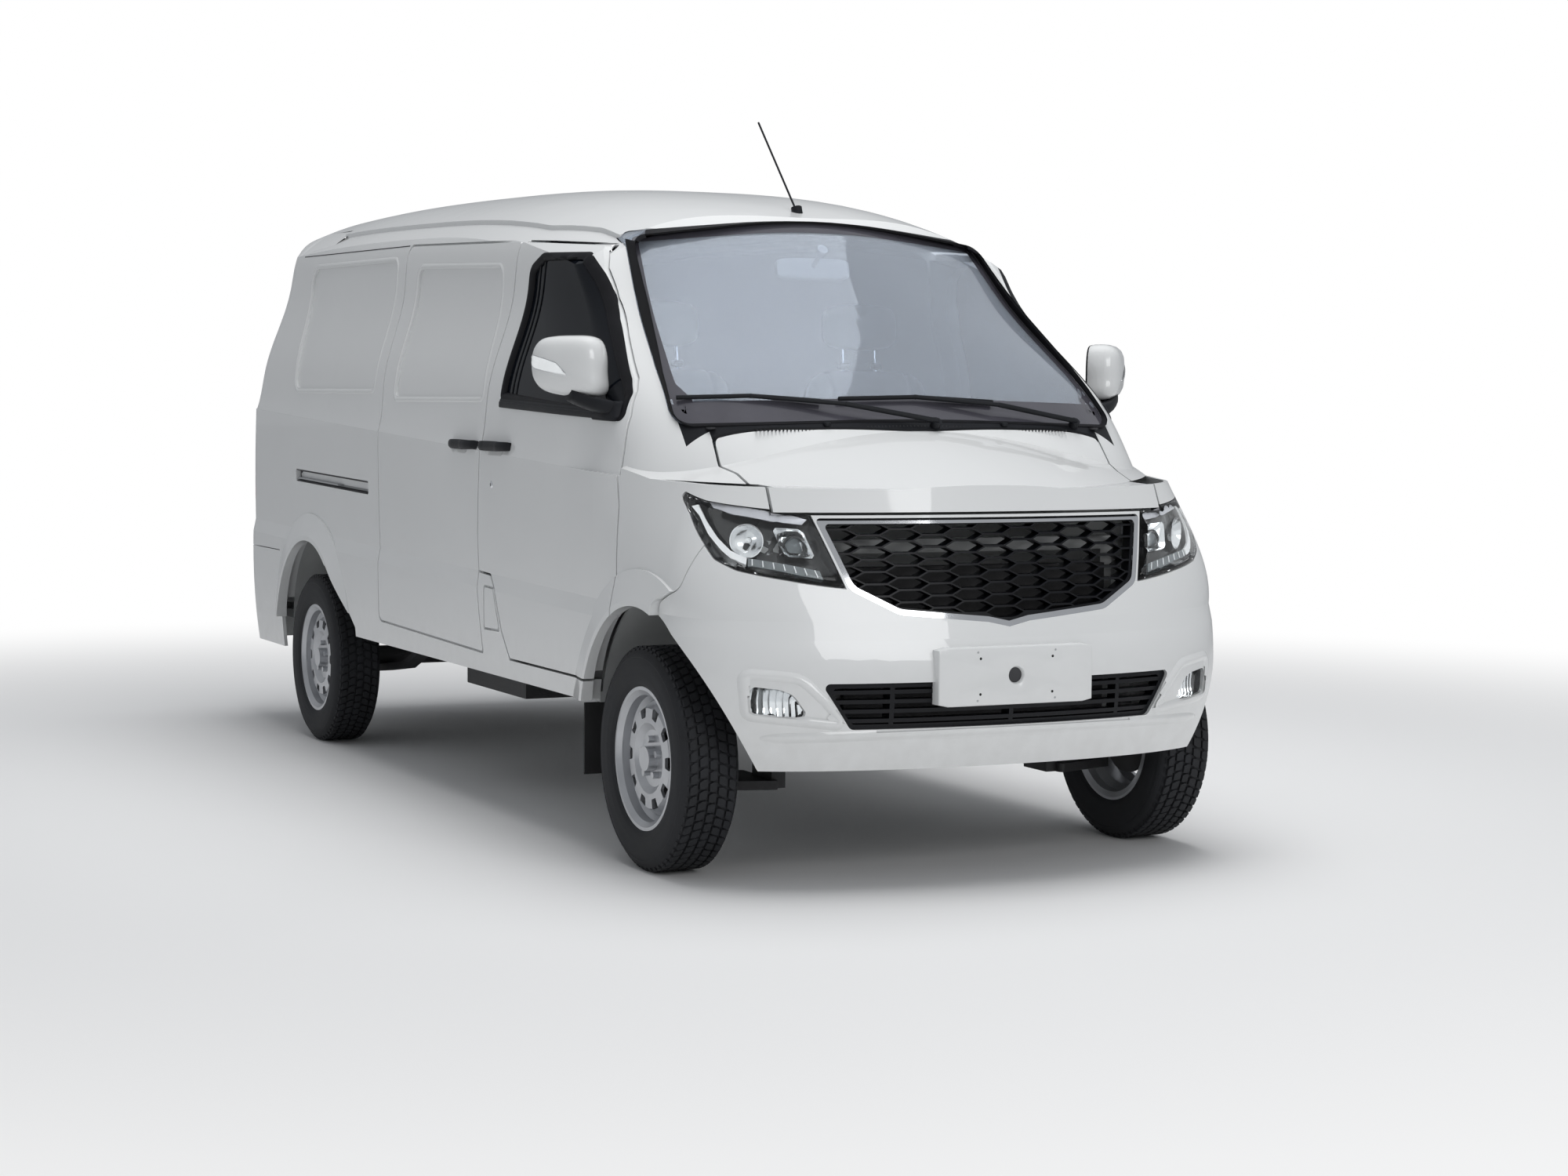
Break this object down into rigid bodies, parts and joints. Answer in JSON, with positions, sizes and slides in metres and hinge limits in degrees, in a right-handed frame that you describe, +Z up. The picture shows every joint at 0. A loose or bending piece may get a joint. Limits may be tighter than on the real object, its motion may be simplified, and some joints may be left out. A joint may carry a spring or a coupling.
{
  "type": "panel van",
  "caption": "Small white panel van with a short sloping nose, pressed blank load sides, sliding side doors, a lifting tailgate and a dark honeycomb grille in a bright surround",
  "frame": {"origin": "On the ground, under the middle of the bounding box", "axes": "+X points to the front of the van, +Y to its left, +Z up"},
  "size_m": [4.3609, 1.903, 2.0421],
  "materials": {
    "white_paint": "gloss",
    "black_plastic": "satin",
    "gloss_black": "gloss",
    "window": "tinted",
    "lamp_lens": "clear",
    "red_lens": "gloss",
    "chrome_trim": "polished",
    "wheel_steel": "satin",
    "tyre_rubber": "matt",
    "chassis_steel": "satin",
    "floor_paint": "satin",
    "engine_metal": "cast",
    "bare_steel": "dull",
    "seat_fabric": "woven",
    "flap_rubber": "matt"
  },
  "bodies": {
    "body": {"antenna": "black_plastic", "body_side_left": "white_paint", "body_side_right": "white_paint", "bulkhead": "floor_paint", "cowl_panel": "black_plastic", "dashboard": "black_plastic", "engine_block": "engine_metal", "exhaust": "bare_steel", "fender_left": "white_paint", "fender_right": "white_paint", "floor_pan": "floor_paint", "fog_lamps": "lamp_lens", "front_bumper": "white_paint", "front_struts": "chassis_steel", "front_suspension": "chassis_steel", "fuel_tank": "chassis_steel", "grille": "gloss_black", "grille_surround": "chrome_trim", "headlamps": "lamp_lens", "lower_grille": "black_plastic", "mud_flaps": "flap_rubber", "plate_holder": "white_paint", "propshaft": "bare_steel", "radiator": "engine_metal", "rear_axle": "chassis_steel", "rear_bumper": "white_paint", "roof_panel": "white_paint", "seat_box": "floor_paint", "seats": "seat_fabric", "sliding_door_left": "white_paint", "sliding_door_right": "white_paint", "sliding_handles": "gloss_black", "spare_wheel": "tyre_rubber", "steering_wheel": "black_plastic", "tail_lamps": "red_lens", "wheel_housings": "floor_paint", "windscreen": "window", "wipers": "black_plastic"},
    "front_door_right": {"front_door_right": "white_paint", "door_glass_right": "window", "mirror_right": "white_paint", "door_handle_right": "gloss_black"},
    "front_door_left": {"front_door_left": "white_paint", "door_glass_left": "window", "mirror_left": "white_paint", "door_handle_left": "gloss_black"},
    "tailgate": {"tailgate": "white_paint", "tailgate_glass": "window"},
    "hood": {"hood": "white_paint"},
    "fuel_flap": {"fuel_flap": "white_paint"},
    "steer_right": {"knuckle_right": "chassis_steel"},
    "steer_left": {"knuckle_left": "chassis_steel"},
    "wheel_front_right": {"rim_front_right": "wheel_steel", "tyre_front_right": "tyre_rubber"},
    "wheel_front_left": {"rim_front_left": "wheel_steel", "tyre_front_left": "tyre_rubber"},
    "wheel_rear_right": {"rim_rear_right": "wheel_steel", "tyre_rear_right": "tyre_rubber"},
    "wheel_rear_left": {"rim_rear_left": "wheel_steel", "tyre_rear_left": "tyre_rubber"}
  },
  "joints": [
    {"name": "front_door_right_hinge", "type": "hinge", "parent": "body", "child": "front_door_right", "pos_m": [1.4875, -0.823, 0.86], "axis": [0, 0, 1], "range_deg": [0, 65]},
    {"name": "front_door_left_hinge", "type": "hinge", "parent": "body", "child": "front_door_left", "pos_m": [1.4875, 0.823, 0.86], "axis": [0, 0, 1], "range_deg": [-65, 0]},
    {"name": "tailgate_hinge", "type": "hinge", "parent": "body", "child": "tailgate", "pos_m": [-1.917, 0, 1.8], "axis": [0, 1, 0], "range_deg": [0, 85]},
    {"name": "hood_hinge", "type": "hinge", "parent": "body", "child": "hood", "pos_m": [1.67, 0, 1.141], "axis": [0, -1, 0], "range_deg": [0, 50]},
    {"name": "fuel_flap_hinge", "type": "hinge", "parent": "body", "child": "fuel_flap", "pos_m": [0.5892, -0.808, 0.6054], "axis": [-0.3976, 0, 0.9176], "range_deg": [0, 90]},
    {"name": "steer_right", "type": "hinge", "parent": "body", "child": "steer_right", "pos_m": [1.615, -0.6, 0.293], "axis": [0, 0, 1], "range_deg": [-35, 35]},
    {"name": "steer_left", "type": "hinge", "parent": "body", "child": "steer_left", "pos_m": [1.615, 0.6, 0.293], "axis": [0, 0, 1], "range_deg": [-35, 35]},
    {"name": "wheel_front_right_axle", "type": "hinge", "parent": "steer_right", "child": "wheel_front_right", "pos_m": [1.615, -0.712, 0.293], "axis": [0, 1, 0], "continuous": true},
    {"name": "wheel_front_left_axle", "type": "hinge", "parent": "steer_left", "child": "wheel_front_left", "pos_m": [1.615, 0.712, 0.293], "axis": [0, 1, 0], "continuous": true},
    {"name": "wheel_rear_right_axle", "type": "hinge", "parent": "body", "child": "wheel_rear_right", "pos_m": [-1.315, -0.712, 0.293], "axis": [0, 1, 0], "continuous": true},
    {"name": "wheel_rear_left_axle", "type": "hinge", "parent": "body", "child": "wheel_rear_left", "pos_m": [-1.315, 0.712, 0.293], "axis": [0, 1, 0], "continuous": true}
  ],
  "couplings": [
    {"joint": "steer_left", "follows": "steer_right", "ratio": 1}
  ]
}
